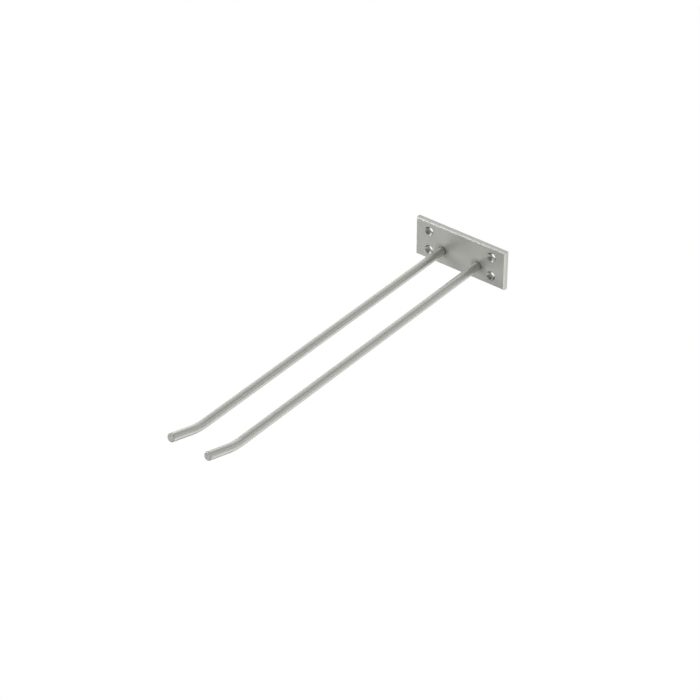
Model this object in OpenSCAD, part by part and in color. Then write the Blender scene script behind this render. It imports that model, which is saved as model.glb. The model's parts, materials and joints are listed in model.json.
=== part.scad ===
// Double straight wall hook: two round rods with upturned tips, plug-welded from
// behind into one flat wall plate with four countersunk screw holes.
// All sizes are in millimetres. The origin is the centre of the plate's back face.
// +X runs along the plate, +Z is up, and the rods reach away from the wall along -Y.
// Left and right are as seen by someone facing the wall.

/* [Wall plate] */
// Width of the wall plate
plate_w = 100; // [84:1:160]
// Height of the wall plate
plate_h = 40; // [34:1:70]
// Thickness of the wall plate
plate_t = 5; // [4:0.5:8]
// Chamfer around the front of the plate
edge_c = 1; // [0.3:0.1:1.5]

/* [Screw holes] */
// Spacing of the screw holes along the plate
hole_pitch_x = 70; // [60:1:84]
// Spacing of the screw holes up the plate
hole_pitch_z = 20; // [14:0.5:26]
// Diameter of the clearance bore for the screw
screw_bore = 5.5; // [4.5:0.1:6.5]
// Diameter of the countersink where it meets the front face
sink_d = 9.5; // [8:0.1:12]

/* [Rods] */
// Diameter of each rod
rod_d = 8; // [6:0.5:10]
// Distance between the centre lines of the two rods
rod_pitch = 40; // [24:1:48]
// Distance of the rods below the middle of the plate
rod_drop = 5; // [0:0.5:8]
// Reach from the wall to the middle of a rod's end face
reach = 380; // [150:5:500]

/* [Upturned tips] */
// Angle that each tip is bent up by
tip_angle = 16.5; // [5:0.5:45]
// Length of a tip from the corner of its bend to its end face
tip_leg = 35; // [20:1:60]
// Radius of the bend to the rod's centre line
bend_r = 65; // [30:1:100]
// Chamfer around the end face
end_c = 0.6; // [0.2:0.1:1.5]

/* [Welded joint] */
// Clearance of a rod in its socket, on the diameter
socket_clear = 0.2; // [0.1:0.05:0.5]
// Chamfer at the front of each socket
socket_c = 0.3; // [0.1:0.1:0.8]
// Depth of the plug weld in the back of the plate
weld_depth = 2; // [1:0.5:3]
// Width of the weld around the socket at the back face
weld_spread = 2; // [1:0.5:3]

/* [Hidden] */
$fn = 96;
// Cutting tools run this far past the faces that they cut
overrun = 1;
// Width of the seam between the bend and the tip
seam = 0.002;
// The core across the seam, and how far it runs into the rod on either side
core_d = 0.75*rod_d;
core_reach = 1;
left = -1;
right = 1;
socket_d = rod_d + socket_clear;
weld_d = socket_d + 2*weld_spread;
// A 90 degree countersink
sink_depth = (sink_d - screw_bore)/2;
// Distance from the corner of the bend to either end of its arc
bend_run = bend_r*tan(tip_angle/2);
// Distance from the wall at which the bend starts
bend_start = reach - tip_leg*cos(tip_angle) - bend_run;
tip_straight = tip_leg - bend_run;

// Round bar that starts at a distance from the wall and runs away from it
module bar(from, length, d1, d2) {
    translate([0, -from, 0])
        rotate([90, 0, 0])
            cylinder(h = length, d1 = d1, d2 = d2);
}

// Section of the plate across a width, chamfered at the front corners
function plate_section(width) = [
    [-width/2, 0],
    [-width/2, edge_c - plate_t],
    [edge_c - width/2, -plate_t],
    [width/2 - edge_c, -plate_t],
    [width/2, edge_c - plate_t],
    [width/2, 0]
];

module plate_blank() {
    intersection() {
        translate([0, 0, -plate_h/2])
            linear_extrude(plate_h)
                polygon(plate_section(plate_w));
        rotate([0, -90, 0])
            translate([0, 0, -plate_w/2])
                linear_extrude(plate_w)
                    polygon(plate_section(plate_h));
    }
}

// Through bore with its countersink in the front face
module screw_hole() {
    bar(-overrun, plate_t + 2*overrun, screw_bore, screw_bore);
    // The cone carries on past the front face at the same angle
    bar(plate_t - sink_depth, sink_depth + overrun, screw_bore, sink_d + 2*overrun);
}

// Socket for a rod, eased at the front and opened out for the weld at the back
module rod_socket() {
    bar(-overrun, plate_t + 2*overrun, socket_d, socket_d);
    bar(plate_t - socket_c, socket_c + overrun, socket_d, socket_d + 2*(socket_c + overrun));
    plug_weld();
    bar(-overrun, overrun, weld_d, weld_d);
}

// Weld metal behind the end of a rod, ground flush with the back of the plate
module plug_weld() {
    bar(0, weld_depth, weld_d, socket_d);
}

// Moves what is centred on the wall to a rod's place on the plate
module at_rod(side) {
    translate([side*rod_pitch/2, 0, -rod_drop])
        children();
}

// Straight rod from the weld to the bend, the bend, and the tip with its chamfered end.
// The tip starts a hair's breadth from the bend and is joined to it by a core.
module hook_rod() {
    translate([0, -bend_start, bend_r]) {
        translate([0, 0, -bend_r])
            bar(weld_depth - bend_start, bend_start - weld_depth, rod_d, rod_d);
        rotate([0, 90, 180])
            rotate_extrude(angle = tip_angle)
                translate([bend_r, 0])
                    circle(d = rod_d);
        rotate([-tip_angle, 0, 0])
            translate([0, 0, -bend_r]) {
                bar(-core_reach, 2*core_reach, core_d, core_d);
                bar(seam, tip_straight - end_c - seam, rod_d, rod_d);
                bar(tip_straight - end_c, end_c, rod_d, rod_d - 2*end_c);
            }
    }
}

module wall_plate() {
    color([0.69, 0.70, 0.67])
        difference() {
            plate_blank();
            for (x = [-hole_pitch_x/2, hole_pitch_x/2], z = [-hole_pitch_z/2, hole_pitch_z/2])
                translate([x, 0, z])
                    screw_hole();
            for (side = [left, right])
                at_rod(side)
                    rod_socket();
        }
}

module left_rod() {
    color([0.64, 0.65, 0.62])
        at_rod(left)
            hook_rod();
}

module right_rod() {
    color([0.64, 0.65, 0.62])
        at_rod(right)
            hook_rod();
}

module left_weld() {
    color([0.50, 0.50, 0.48])
        at_rod(left)
            plug_weld();
}

module right_weld() {
    color([0.50, 0.50, 0.48])
        at_rod(right)
            plug_weld();
}

wall_plate();
left_rod();
right_rod();
left_weld();
right_weld();
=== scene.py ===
import json
import math

import bmesh
import bpy
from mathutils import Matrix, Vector


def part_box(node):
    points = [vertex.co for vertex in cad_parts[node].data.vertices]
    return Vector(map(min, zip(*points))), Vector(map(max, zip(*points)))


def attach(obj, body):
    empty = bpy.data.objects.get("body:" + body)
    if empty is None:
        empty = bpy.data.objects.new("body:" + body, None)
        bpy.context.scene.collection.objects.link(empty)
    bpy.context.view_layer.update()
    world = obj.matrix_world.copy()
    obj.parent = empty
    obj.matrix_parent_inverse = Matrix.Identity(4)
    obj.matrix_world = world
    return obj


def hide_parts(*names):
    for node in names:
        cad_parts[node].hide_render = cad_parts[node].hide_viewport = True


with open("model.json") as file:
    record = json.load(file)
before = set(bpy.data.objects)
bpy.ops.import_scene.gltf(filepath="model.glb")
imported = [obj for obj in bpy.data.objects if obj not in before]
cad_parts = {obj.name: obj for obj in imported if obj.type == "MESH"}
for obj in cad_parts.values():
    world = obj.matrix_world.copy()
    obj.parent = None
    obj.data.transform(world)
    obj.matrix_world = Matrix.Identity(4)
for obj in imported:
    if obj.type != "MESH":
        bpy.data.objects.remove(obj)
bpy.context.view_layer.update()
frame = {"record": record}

MM = 0.001

# ---------------------------------------------------------------- sizes
# The frame gives the sizes of the plate, the rods and the welds, and its record gives the screw holes.
plate_low, plate_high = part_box("wall_plate")
plate_size = plate_high - plate_low
plate_front = -plate_low.y
rod_low, rod_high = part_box("right_rod")
rod_r = (rod_high.x - rod_low.x) / 2
rod_x = (rod_high.x + rod_low.x) / 2
rod_z = rod_low.z + rod_r
weld_low, weld_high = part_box("right_weld")
weld_depth = -weld_low.y
weld_r = (weld_high.x - weld_low.x) / 2
screws = next(m for m in frame["record"]["mounts"] if m["name"] == "wall_screws")["dims"]
screw_x = screws["spacing_x_mm"] / 2 * MM
screw_z = screws["spacing_y_mm"] / 2 * MM
screw_r = screws["hole_r_mm"] * MM

# The part's own driving sizes that a box doesn't show
edge_chamfer = 1.0 * MM
sink_r = 4.75 * MM
socket_r = rod_r + 0.1 * MM
socket_chamfer = 0.3 * MM
end_chamfer = 0.6 * MM
reach = 380 * MM
tip_angle = math.radians(16.5)
tip_leg = 35 * MM
bend_r = 65 * MM
bend_run = bend_r * math.tan(tip_angle / 2)
bend_start = reach - tip_leg * math.cos(tip_angle) - bend_run
tip_direction = Vector((0, -math.cos(tip_angle), math.sin(tip_angle)))

# Sharp edges are broken by a file or a belt to about this radius, and a weld's are ground closer
edge_break = 0.14 * MM
weld_edge_break = 0.05 * MM
# Grinding leaves a dimple in each weld: its depths, each with its share of the weld's radius
dimple = ((0.12 * MM, 0.30), (0.07 * MM, 0.45), (0, 0.62))
# Faces that meet at more than this make a sharp edge
sharp_limit = math.radians(28)
# Faces that meet at less than this are one smooth surface
flat_limit = math.radians(8)
# Sides of a round hole and of a rod, and steps in a rod's bend
hole_sides = 96
rod_sides = 72
bend_steps = 14
# Cutting tools run this far past the faces that they cut
overrun = 1 * MM
# Points this close to a place are on it
near = 0.1 * MM
# A face with this much of its normal along a direction looks straight that way, or leans that way
straight_on = 0.9
leaning = 0.5
# Shade from each rod is painted on the plate this far from it, and the heat of welding tints the steel
# this far from a weld
painted_shade_reach = 6 * MM
heat_reach = 6 * MM
# Handling burnishes an edge this far in from its corner
wear_reach = 0.3 * MM


# ---------------------------------------------------------------- colours
PLATE_STEEL = (0.580, 0.587, 0.548, 1)
EDGE_STEEL = (0.577, 0.584, 0.546, 1)
BACK_STEEL = (0.56, 0.56, 0.53, 1)
ROD_STEEL = (0.605, 0.612, 0.571, 1)
END_STEEL = (0.68, 0.688, 0.646, 1)
CUT_STEEL = (0.40, 0.395, 0.375, 1)
WELD_STEEL = (0.50, 0.50, 0.48, 1)
BRIGHT_STEEL = (0.80, 0.80, 0.78, 1)
# Painted shade: the darker steel laid on the plate round each rod, for its shadow and dark reflection
PAINTED_SHADE_STEEL = (0.34, 0.34, 0.32, 1)
BURNT_STEEL = (0.30, 0.24, 0.19, 1)
WHITE = (1, 1, 1, 1)

# Heat tint, from the weld outwards: how far along each colour comes, up to clean steel
HEAT_TINTS = (
    (0.0, (0.34, 0.30, 0.26, 1)),
    (0.25, (0.42, 0.44, 0.56, 1)),
    (0.45, (0.62, 0.48, 0.36, 1)),
    (0.7, (0.88, 0.78, 0.58, 1)),
    (1.0, WHITE),
)

# How far grain and clouds swing the roughness, and how much worn edges brighten and smooth out
GRAIN_GLOSS = 0.06
CLOUD_GLOSS = 0.08
WEAR_TINT = 0.2
WEAR_GLOSS = 0.06


# ---------------------------------------------------------------- camera
def direction(around, above):
    """The way out at two angles in degrees: around is 0 in front and 90 on the right, above is up."""
    around, above = math.radians(around), math.radians(above)
    level = math.cos(above)
    return Vector((math.sin(around) * level, -math.cos(around) * level, math.sin(above)))


def camera():
    """A long lens above and to the right of the hook, held upright."""
    aim = Vector((0, -167.02, -17.15)) * MM
    distance = 2243.2 * MM
    around, above = 38.227, 35.595
    lens = bpy.data.cameras.new("camera")
    lens.lens = 131.616
    lens.sensor_width = 36
    lens.clip_end = 50
    eye = bpy.data.objects.new("camera", lens)
    eye.location = aim + direction(around, above) * distance
    eye.rotation_euler = (math.radians(90 - above), 0, math.radians(around))
    bpy.context.scene.collection.objects.link(eye)
    bpy.context.scene.camera = eye


# ---------------------------------------------------------------- modelling
def deselect():
    for thing in bpy.context.selected_objects:
        thing.select_set(False)


def take(piece):
    """Makes a piece the only one selected, and the active one."""
    deselect()
    piece.select_set(True)
    bpy.context.view_layer.objects.active = piece


def fresh(name):
    """Names the object that was just added and puts its place in its mesh."""
    piece = bpy.context.active_object
    piece.name = name
    piece.data.name = name
    bpy.ops.object.transform_apply(location=True, rotation=True, scale=True)
    return piece


def copy_beside(piece, name, shift):
    """A copy of a piece with its own mesh, moved along X."""
    take(piece)
    bpy.ops.object.duplicate()
    bpy.context.active_object.location.x = shift
    return fresh(name)


def pick(piece, kind, wanted):
    """In edit mode, selects only the edges or faces that a test wants."""
    bpy.ops.mesh.select_mode(type=kind)
    bpy.ops.mesh.select_all(action="DESELECT")
    mesh = bmesh.from_edit_mesh(piece.data)
    for part in mesh.edges if kind == "EDGE" else mesh.faces:
        if wanted(part):
            part.select_set(True)
    mesh.select_flush_mode()
    bmesh.update_edit_mesh(piece.data)


def edit(piece):
    take(piece)
    bpy.ops.object.mode_set(mode="EDIT")


def done():
    bpy.ops.object.mode_set(mode="OBJECT")


def finish_with(piece, kind, **settings):
    """Adds a modifier with its settings and applies it."""
    take(piece)
    modifier = piece.modifiers.new(kind.lower(), kind)
    for key, value in settings.items():
        setattr(modifier, key, value)
    bpy.ops.object.modifier_apply(modifier=modifier.name)


def turned(name, x, z, stations, sides=hole_sides):
    """A closed round shape along -Y, turned to each (distance from the wall, radius) in order."""
    deselect()
    first, radius = stations[0]
    bpy.ops.mesh.primitive_circle_add(
        vertices=sides, radius=radius, fill_type="NGON",
        location=(x, -first, z), rotation=(math.pi / 2, 0, 0),
    )
    piece = fresh(name)
    edit(piece)
    bpy.ops.mesh.select_all(action="SELECT")
    for (here, r_here), (there, r_there) in zip(stations, stations[1:]):
        bpy.ops.mesh.extrude_region_move(TRANSFORM_OT_translate={"value": (0, here - there, 0)})
        grow = r_there / r_here
        bpy.ops.transform.resize(value=(grow, 1, grow), center_override=(x, -there, z))
    bpy.ops.mesh.select_all(action="SELECT")
    bpy.ops.mesh.normals_make_consistent(inside=False)
    done()
    return piece


def face_with(piece, finishes):
    """Covers a piece with each (material, test) in order, on the faces that the test wants."""
    for material, _ in finishes:
        piece.data.materials.append(material)
    edit(piece)
    for slot, (_, wanted) in enumerate(finishes):
        pick(piece, "FACE", wanted)
        piece.active_material_index = slot
        bpy.ops.object.material_slot_assign()
    done()


def break_edges(piece, width=edge_break):
    """Rounds the sharp edges a little, and shades the piece so that its flats stay flat."""
    finish_with(piece, "BEVEL", width=width, segments=3, limit_method="ANGLE", angle_limit=sharp_limit,
                use_clamp_overlap=True, miter_outer="MITER_SHARP")
    take(piece)
    bpy.ops.object.shade_smooth_by_angle(angle=flat_limit)


# ---------------------------------------------------------------- shader nodes
def node(tree, kind, inputs=None, **settings):
    """Adds a shader node, sets its properties, and links or sets its inputs."""
    made = tree.nodes.new("ShaderNode" + kind)
    for key, value in settings.items():
        setattr(made, key, value)
    for key, value in (inputs or {}).items():
        if isinstance(value, bpy.types.NodeSocket):
            tree.links.new(value, made.inputs[key])
        else:
            made.inputs[key].default_value = value
    return made


def maths(tree, operation, *values, clamp=False):
    return node(tree, "Math", dict(enumerate(values)), operation=operation, use_clamp=clamp).outputs[0]


def vectors(tree, operation, *values, out=0):
    return node(tree, "VectorMath", dict(enumerate(values)), operation=operation).outputs[out]


def sway(tree, pattern, amount):
    """Turns a 0 to 1 pattern into a swing of plus or minus half the amount about 0."""
    return maths(tree, "MULTIPLY", maths(tree, "SUBTRACT", pattern, 0.5), amount)


def noise(tree, place, size, detail=2.0, roughness=0.55):
    """Noise whose lumps are about the given size in metres."""
    lumps = {"Vector": place, "Scale": 1 / size, "Detail": detail, "Roughness": roughness}
    return node(tree, "TexNoise", lumps).outputs[0]


def tint(tree, amount, under, over, blend="MIX"):
    """Blends the colour over into the colour under by an amount."""
    mixed = node(tree, "Mix", {0: amount, 6: under, 7: over}, data_type="RGBA", blend_type=blend)
    return mixed.outputs[2]


def fade(tree, distance, start, end, first, last, ease="LINEAR"):
    """Goes from a first value to a last one as a distance grows from start to end."""
    return node(tree, "MapRange", {0: distance, 1: start, 2: end, 3: first, 4: last},
                interpolation_type=ease).outputs[0]


def new_group(name, inputs, outputs):
    """A node group with named sockets, given as {name: (kind, value)} and {name: kind}."""
    tree = bpy.data.node_groups.new(name, "ShaderNodeTree")
    for label, (kind, value) in inputs.items():
        socket = tree.interface.new_socket(label, in_out="INPUT", socket_type="NodeSocket" + kind)
        socket.default_value = value
    for label, kind in outputs.items():
        tree.interface.new_socket(label, in_out="OUTPUT", socket_type="NodeSocket" + kind)
    return tree, tree.nodes.new("NodeGroupInput").outputs, tree.nodes.new("NodeGroupOutput").inputs


def place_group(tree, group, inputs):
    return node(tree, "Group", inputs, node_tree=group).outputs


# ---------------------------------------------------------------- shared effects
def edge_wear_group():
    """1 on sharp edges, where handling has burnished the steel, fading to 0 over the radius."""
    tree, given, result = new_group("edge_wear", {"Radius": ("Float", wear_reach)}, {"Mask": "Float"})
    rounded = node(tree, "Bevel", {"Radius": given["Radius"]}, samples=8).outputs[0]
    flat = node(tree, "NewGeometry").outputs["Normal"]
    likeness = vectors(tree, "DOT_PRODUCT", rounded, flat, out=1)
    steepness = 9
    mask = maths(tree, "MULTIPLY", maths(tree, "SUBTRACT", 1, likeness), steepness, clamp=True)
    tree.links.new(mask, result["Mask"])
    return tree


def steel_finish_group(edge_wear):
    """Steel with a grain, cloudy patches left by finishing and handling, and burnished edges."""
    tree, given, result = new_group("steel_finish", {
        "Place": ("Vector", (0, 0, 0)),
        "Colour": ("Color", (0.6, 0.6, 0.6, 1)),
        "Roughness": ("Float", 0.4),
        "Stretch": ("Vector", (1, 1, 1)),
        "Grain Size": ("Float", 0.5 * MM),
        "Grain Tone": ("Float", 0.1),
        "Cloud Size": ("Float", 20 * MM),
        "Cloud Tone": ("Float", 0.06),
    }, {"Colour": "Color", "Roughness": "Float", "Height": "Float"})
    stretched = vectors(tree, "MULTIPLY", given["Place"], given["Stretch"])
    fine = vectors(tree, "DIVIDE", stretched, given["Grain Size"])
    wide = vectors(tree, "DIVIDE", given["Place"], given["Cloud Size"])
    grain = noise(tree, fine, 1, detail=3, roughness=0.6)
    cloud = noise(tree, wide, 1, detail=4)
    worn = place_group(tree, edge_wear, {"Radius": wear_reach})["Mask"]
    tone = maths(tree, "ADD", 1, sway(tree, grain, given["Grain Tone"]))
    tone = maths(tree, "ADD", tone, sway(tree, cloud, given["Cloud Tone"]))
    shaded = node(tree, "VectorMath", {0: given["Colour"], "Scale": tone}, operation="SCALE").outputs[0]
    brightened = tint(tree, maths(tree, "MULTIPLY", worn, WEAR_TINT), shaded, BRIGHT_STEEL)
    rough = maths(tree, "ADD", given["Roughness"], sway(tree, grain, GRAIN_GLOSS))
    rough = maths(tree, "ADD", rough, sway(tree, cloud, CLOUD_GLOSS))
    rough = maths(tree, "SUBTRACT", rough, maths(tree, "MULTIPLY", worn, WEAR_GLOSS), clamp=True)
    tree.links.new(brightened, result["Colour"])
    tree.links.new(rough, result["Roughness"])
    tree.links.new(grain, result["Height"])
    return tree


def round_marks_group():
    """Rings about an axis along Y, as a drill, a countersink or a grinding disc leaves them."""
    tree, given, result = new_group("round_marks", {
        "Place": ("Vector", (0, 0, 0)),
        "Centre": ("Vector", (0, 0, 0)),
        "Pitch": ("Float", 0.2 * MM),
    }, {"Distance": "Float", "Marks": "Float"})
    offset = vectors(tree, "SUBTRACT", given["Place"], given["Centre"])
    flat = vectors(tree, "MULTIPLY", offset, (1, 0, 1))
    away = vectors(tree, "LENGTH", flat, out=1)
    around = vectors(tree, "NORMALIZE", flat)
    depth = node(tree, "SeparateXYZ", {0: given["Place"]}).outputs["Y"]
    rings = maths(tree, "DIVIDE", maths(tree, "ADD", away, depth), given["Pitch"])
    waver = vectors(tree, "MULTIPLY", around, (1.5, 0, 1.5))
    swirl = vectors(tree, "ADD", waver, node(tree, "CombineXYZ", {"Y": rings}).outputs[0])
    tree.links.new(away, result["Distance"])
    tree.links.new(noise(tree, swirl, 1, detail=3, roughness=0.7), result["Marks"])
    return tree


# ---------------------------------------------------------------- finishes
def bare_steel(name, metallic=1):
    """A metal with nothing on it yet: returns the material, its tree and its shader."""
    finish = bpy.data.materials.new(name)
    finish.use_nodes = True
    shader = finish.node_tree.nodes["Principled BSDF"]
    shader.inputs["Metallic"].default_value = metallic
    return finish, finish.node_tree, shader


def coat(tree, shader, colour, roughness, height, depth):
    """Feeds a shader its colour and roughness, and its bumps of a depth in metres."""
    bump = node(tree, "Bump", {"Height": height, "Distance": depth, "Strength": 1.0})
    tree.links.new(colour, shader.inputs["Base Color"])
    tree.links.new(roughness, shader.inputs["Roughness"])
    tree.links.new(bump.outputs[0], shader.inputs["Normal"])


def own_place(tree):
    return node(tree, "TexCoord").outputs["Object"]


def folded_place(tree, both=False):
    """The place with the left half laid over the right, and with both, the lower over the upper too."""
    place = own_place(tree)
    mirrored = vectors(tree, "ABSOLUTE", place)
    if both:
        return mirrored
    kept = node(tree, "SeparateXYZ", {0: place}).outputs
    across = node(tree, "SeparateXYZ", {0: mirrored}).outputs["X"]
    return node(tree, "CombineXYZ", {"X": across, "Y": kept["Y"], "Z": kept["Z"]}).outputs[0]


def bar_place(tree):
    return node(tree, "Attribute", attribute_name="bar_place").outputs["Vector"]


def from_rod(tree):
    """How far a point is from the axis of the rod on its side of the plate."""
    rod = place_group(tree, round_marks, {"Place": folded_place(tree), "Centre": (rod_x, 0, rod_z)})
    return rod["Distance"]


def satin_face():
    """Front of the plate: an even satin, with painted shade darkening it round each rod.

    The satin is so fine that it scatters some light as a matt coat does, so it isn't all metal.
    """
    finish, tree, shader = bare_steel("satin_face", metallic=0.7)
    steel = place_group(tree, steel_finish, {
        "Place": own_place(tree), "Colour": PLATE_STEEL, "Roughness": 0.56,
        "Grain Size": 1.1 * MM, "Grain Tone": 0.09, "Cloud Size": 16 * MM, "Cloud Tone": 0.05,
    })
    # Painted shade: the plate darkens towards each rod, standing in for the rod's shadow and its dark
    # reflection
    painted_shade = fade(tree, from_rod(tree), rod_r, rod_r + painted_shade_reach, 0.6, 0.0, ease="SMOOTHSTEP")
    coat(tree, shader, tint(tree, painted_shade, steel["Colour"], PAINTED_SHADE_STEEL), steel["Roughness"],
         steel["Height"], 0.012 * MM)
    return finish


def ground_edge():
    """Edges and chamfers of the plate, drawn over a belt along their length."""
    finish, tree, shader = bare_steel("ground_edge")
    steel = place_group(tree, steel_finish, {
        "Place": own_place(tree), "Colour": EDGE_STEEL, "Roughness": 0.42,
        "Stretch": (0.06, 1, 0.12), "Grain Size": 0.3 * MM, "Grain Tone": 0.05,
        "Cloud Size": 12 * MM, "Cloud Tone": 0.03,
    })
    coat(tree, shader, steel["Colour"], steel["Roughness"], steel["Height"], 0.004 * MM)
    return finish


def drilled_hole():
    """Bores and countersinks, with the rings that the cutters left."""
    finish, tree, shader = bare_steel("drilled_hole")
    steel = place_group(tree, steel_finish, {
        "Place": own_place(tree), "Colour": CUT_STEEL, "Roughness": 0.42,
        "Grain Size": 0.4 * MM, "Grain Tone": 0.16, "Cloud Size": 4 * MM, "Cloud Tone": 0.12,
    })
    rings = place_group(tree, round_marks, {
        "Place": folded_place(tree, both=True), "Centre": (screw_x, 0, screw_z), "Pitch": 0.22 * MM,
    })
    coat(tree, shader, steel["Colour"], steel["Roughness"], rings["Marks"], 0.020 * MM)
    return finish


def mill_back():
    """Back of the plate as rolled, with straw and blue heat tint round the ground welds."""
    finish, tree, shader = bare_steel("mill_back")
    steel = place_group(tree, steel_finish, {
        "Place": own_place(tree), "Colour": BACK_STEEL, "Roughness": 0.46,
        "Stretch": (0.03, 1, 1), "Grain Size": 0.5 * MM, "Grain Tone": 0.22,
        "Cloud Size": 20 * MM, "Cloud Tone": 0.16,
    })
    ripple = sway(tree, noise(tree, own_place(tree), 4 * MM), 2.2 * MM)
    ragged = maths(tree, "ADD", from_rod(tree), ripple)
    heat = node(tree, "ValToRGB", {0: fade(tree, ragged, weld_r, weld_r + heat_reach, 0.0, 1.0)})
    ramp = heat.color_ramp.elements
    ramp[0].color, ramp[1].color = HEAT_TINTS[0][1], HEAT_TINTS[-1][1]
    for position, colour in HEAT_TINTS[1:-1]:
        ramp.new(position).color = colour
    tinted = tint(tree, 0.6, steel["Colour"], heat.outputs[0], blend="MULTIPLY")
    coat(tree, shader, tinted, steel["Roughness"], steel["Height"], 0.012 * MM)
    return finish


def bar_skin():
    """Drawn round bar, polished to a satin, with faint lines along its length that follow the bend."""
    finish, tree, shader = bare_steel("bar_skin")
    steel = place_group(tree, steel_finish, {
        "Place": bar_place(tree), "Colour": ROD_STEEL, "Roughness": 0.37,
        "Stretch": (1, 0.02, 1), "Grain Size": 1.2 * MM, "Grain Tone": 0.10,
        "Cloud Size": 18 * MM, "Cloud Tone": 0.04,
    })
    coat(tree, shader, steel["Colour"], steel["Roughness"], steel["Height"], 0.008 * MM)
    return finish


def sawn_end():
    """End of a bar as the saw and a quick touch on the grinder left it."""
    finish, tree, shader = bare_steel("sawn_end")
    place = bar_place(tree)
    steel = place_group(tree, steel_finish, {
        "Place": place, "Colour": END_STEEL, "Roughness": 0.52,
        "Grain Size": 1.1 * MM, "Grain Tone": 0.45, "Cloud Size": 3 * MM, "Cloud Tone": 0.20,
    })
    saw = node(tree, "TexWave", {
        "Vector": place, "Scale": 900.0, "Distortion": 5.0, "Detail": 2.0, "Detail Scale": 1.5,
    }, bands_direction="DIAGONAL").outputs[1]
    coat(tree, shader, steel["Colour"], steel["Roughness"],
         maths(tree, "ADD", saw, steel["Height"]), 0.035 * MM)
    return finish


def ground_weld():
    """Plug weld ground flush: arcs from the disc, and a brown tint left at the rim."""
    finish, tree, shader = bare_steel("ground_weld")
    steel = place_group(tree, steel_finish, {
        "Place": own_place(tree), "Colour": WELD_STEEL, "Roughness": 0.36,
        "Stretch": (1, 1, 0.12), "Grain Size": 0.5 * MM, "Grain Tone": 0.30,
        "Cloud Size": 4 * MM, "Cloud Tone": 0.20,
    })
    disc_centre = (rod_x + 11 * MM, 0, rod_z - 9 * MM)
    disc = place_group(tree, round_marks, {
        "Place": folded_place(tree), "Centre": disc_centre, "Pitch": 0.35 * MM,
    })
    burnt = fade(tree, from_rod(tree), 0.8 * weld_r, weld_r, 0.0, 0.55)
    coat(tree, shader, tint(tree, burnt, steel["Colour"], BURNT_STEEL), steel["Roughness"],
         disc["Marks"], 0.030 * MM)
    return finish


# ---------------------------------------------------------------- pieces
def inside(face, axes, radius):
    """Whether a face's middle is within a radius of one of these axes along Y."""
    middle = face.calc_center_median()
    return any(math.hypot(middle.x - x, middle.z - z) < radius for x, z in axes)


def wall_plate():
    """Flat bar with chamfered front edges, countersunk screw holes, and a socket for each rod."""
    deselect()
    bpy.ops.mesh.primitive_cube_add(size=1, location=(plate_low + plate_high) / 2, scale=plate_size)
    piece = fresh("satin_plate")
    edit(piece)
    pick(piece, "EDGE", lambda e: all(v.co.y < plate_low.y + near for v in e.verts))
    bpy.ops.mesh.bevel(offset=edge_chamfer, segments=1, affect="EDGES")
    done()
    holes = [(x, z) for x in (-screw_x, screw_x) for z in (-screw_z, screw_z)]
    sockets = [(x, rod_z) for x in (-rod_x, rod_x)]
    tools = [
        turned("hole_tool", x, z, [
            (-overrun, screw_r),
            (plate_front - (sink_r - screw_r), screw_r),
            (plate_front + overrun, sink_r + overrun),
        ])
        for x, z in holes
    ]
    tools += [
        turned("socket_tool", x, z, [
            (-overrun, weld_r),
            (0, weld_r),
            (weld_depth, socket_r),
            (plate_front - socket_chamfer, socket_r),
            (plate_front + overrun, socket_r + socket_chamfer + overrun),
        ])
        for x, z in sockets
    ]
    for tool in tools:
        finish_with(piece, "BOOLEAN", object=tool, operation="DIFFERENCE", solver="EXACT")
        bpy.data.objects.remove(tool)
    face_with(piece, (
        (satin_face(), lambda f: True),
        (ground_edge(), lambda f: abs(f.normal.y) < straight_on),
        (drilled_hole(), lambda f: abs(f.normal.y) < straight_on and inside(f, holes + sockets, weld_r)),
        (mill_back(), lambda f: f.normal.y > straight_on),
    ))
    break_edges(piece)
    return piece


def mark_bar_place(piece, x):
    """Stores where each point lay on the straight bar, so that a grain follows the bend."""
    places = piece.data.attributes.new("bar_place", "FLOAT_VECTOR", "POINT")
    for vert, place in zip(piece.data.vertices, places.data):
        out = -vert.co.y - bend_start
        up = vert.co.z - rod_z - bend_r
        turn = min(max(math.atan2(out, -up), 0), tip_angle)
        along = bend_start + bend_r * turn + out * math.cos(turn) + up * math.sin(turn)
        across = bend_r - out * math.sin(turn) + up * math.cos(turn)
        place.vector = (vert.co.x - x, along, across)


def hook_rod(name, x):
    """Round bar: straight from the weld to the bend, then a short straight tip with a chamfered end."""
    piece = turned(name, x, rod_z, [(weld_depth, rod_r), (bend_start, rod_r)], sides=rod_sides)
    edit(piece)
    pick(piece, "FACE", lambda f: f.calc_center_median().y < near - bend_start)
    bpy.ops.mesh.spin(
        steps=bend_steps, angle=tip_angle, center=(x, -bend_start, rod_z + bend_r), axis=(1, 0, 0)
    )
    tip_run = tip_leg - bend_run
    for length, grow in ((tip_run - end_chamfer, 1), (end_chamfer, 1 - end_chamfer / rod_r)):
        bpy.ops.mesh.extrude_region_move(TRANSFORM_OT_translate={"value": tip_direction * length})
        mesh = bmesh.from_edit_mesh(piece.data)
        end = next(f for f in mesh.faces if f.select).calc_center_median()
        bpy.ops.transform.resize(value=(grow, grow, grow), center_override=end)
    bpy.ops.mesh.select_all(action="SELECT")
    bpy.ops.mesh.normals_make_consistent(inside=False)
    done()
    face_with(piece, (
        (bar_skin(), lambda f: True),
        (sawn_end(), lambda f: f.normal.dot(tip_direction) > leaning),
    ))
    break_edges(piece)
    mark_bar_place(piece, x)
    return piece


def plug_weld(name, x):
    """Fills the bevel behind a rod, with a shallow dimple in its middle."""
    dimpled = [(depth, share * weld_r) for depth, share in dimple]
    piece = turned(name, x, rod_z, dimpled + [(0, weld_r), (weld_depth, socket_r)])
    piece.data.materials.append(ground_weld())
    break_edges(piece, width=weld_edge_break)
    return piece


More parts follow.
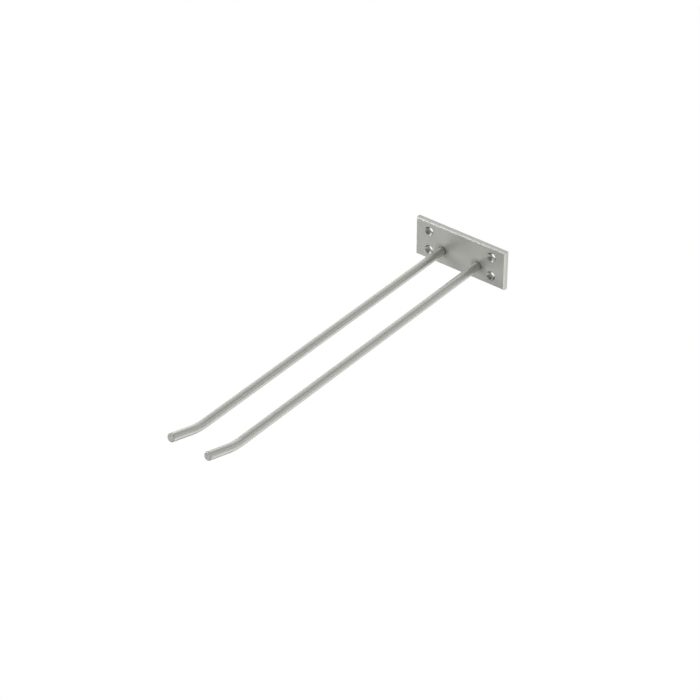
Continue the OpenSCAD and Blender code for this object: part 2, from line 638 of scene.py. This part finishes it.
# ---------------------------------------------------------------- studio
def seen_white(tree, output, otherwise):
    """Makes a surface plain white to the camera, whatever light it gives to the steel."""
    white = node(tree, "Emission", {"Color": WHITE, "Strength": 1.0})
    seen = node(tree, "LightPath").outputs["Is Camera Ray"]
    mixed = node(tree, "MixShader", {0: seen, 1: otherwise, 2: white.outputs[0]})
    tree.links.new(mixed.outputs[0], output.inputs["Surface"])


def open_below(tree, output):
    """Lets a view from under the floor look through it."""
    below = node(tree, "NewGeometry").outputs["Backfacing"]
    above = output.inputs["Surface"].links[0].from_socket
    nothing = node(tree, "BsdfTransparent")
    mixed = node(tree, "MixShader", {0: below, 1: above, 2: nothing.outputs[0]})
    tree.links.new(mixed.outputs[0], output.inputs["Surface"])


def floor():
    """A pale floor far below, which only the camera sees, so that it takes no light from the hook."""
    deselect()
    drop = 0.9
    bpy.ops.mesh.primitive_plane_add(size=30, location=(0, 0, -drop))
    piece = fresh("floor")
    paint = bpy.data.materials.new("pale_floor")
    paint.use_nodes = True
    tree = paint.node_tree
    shader = tree.nodes["Principled BSDF"]
    shader.inputs["Base Color"].default_value = (0.9, 0.9, 0.9, 1)
    shader.inputs["Roughness"].default_value = 0.8
    seen_white(tree, tree.nodes["Material Output"], shader.outputs[0])
    open_below(tree, tree.nodes["Material Output"])
    piece.data.materials.append(paint)
    for rays in ("diffuse", "glossy", "transmission", "shadow"):
        setattr(piece, "visible_" + rays, False)


def light_tent():
    """Even light from a white room."""
    world = bpy.data.worlds.new("light_tent")
    bpy.context.scene.world = world
    world.use_nodes = True
    tree = world.node_tree
    room = tree.nodes["Background"]
    room.inputs["Color"].default_value = WHITE
    room.inputs["Strength"].default_value = 0.15
    seen_white(tree, tree.nodes["World Output"], room.outputs[0])
    bpy.context.scene.view_settings.view_transform = "Standard"


def soft_lights():
    """Square panels: a key at the upper left, weak fills in front, and bounce behind and below."""
    middle = Vector((0, -150, 0)) * MM
    distance = 2.5
    # Each has its two angles in degrees, its size in metres and its watts
    for name, around, above, size, watts in (
        ("key", -49, 24, 1.3, 31),
        ("front", -31, -6, 1.5, 2),
        ("front_low", -40, -40, 1.5, 1.5),
        ("left_low", -90, -45, 2.0, 22),
        ("left_front_low", -70, -31, 1.5, 7),
        ("right", 90, 0, 2.0, 12),
        ("right_high", 90, 45, 2.0, 7),
        ("right_low", 90, -45, 2.0, 12),
        ("right_front_low", 48, -36, 1.5, 9),
        ("right_front_high", 38, 36, 1.5, 2),
        ("back_left", -135, 0, 2.0, 12),
        ("back_left_high", -135, 35, 2.0, 7),
        ("back_high", 180, 45, 2.0, 6),
        ("back", 180, 0, 2.0, 3),
        ("back_low", 180, -45, 2.0, 5),
        ("back_right_low", 135, -35, 2.0, 10),
        ("back_right", 135, 15, 2.0, 7),
    ):
        panel = bpy.data.lights.new(name, "AREA")
        panel.shape = "SQUARE"
        panel.size = size
        panel.energy = watts
        stand = bpy.data.objects.new(name, panel)
        stand.location = middle + direction(around, above) * distance
        stand.rotation_euler = direction(around, above).to_track_quat("Z", "Y").to_euler()
        stand.visible_camera = False
        bpy.context.scene.collection.objects.link(stand)


camera()
edge_wear = edge_wear_group()
steel_finish = steel_finish_group(edge_wear)
round_marks = round_marks_group()
plate = wall_plate()
left_rod = hook_rod("satin_rod_left", -rod_x)
right_rod = copy_beside(left_rod, "satin_rod_right", 2 * rod_x)
left_weld = plug_weld("ground_weld_left", -rod_x)
right_weld = copy_beside(left_weld, "ground_weld_right", 2 * rod_x)
for piece, cad_node, slot in (
    (plate, "wall_plate", "plate_steel"),
    (left_rod, "left_rod", "rod_steel"),
    (right_rod, "right_rod", "rod_steel"),
    (left_weld, "left_weld", "weld_steel"),
    (right_weld, "right_weld", "weld_steel"),
):
    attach(piece, "root")
    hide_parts(cad_node)
floor()
light_tent()
soft_lights()
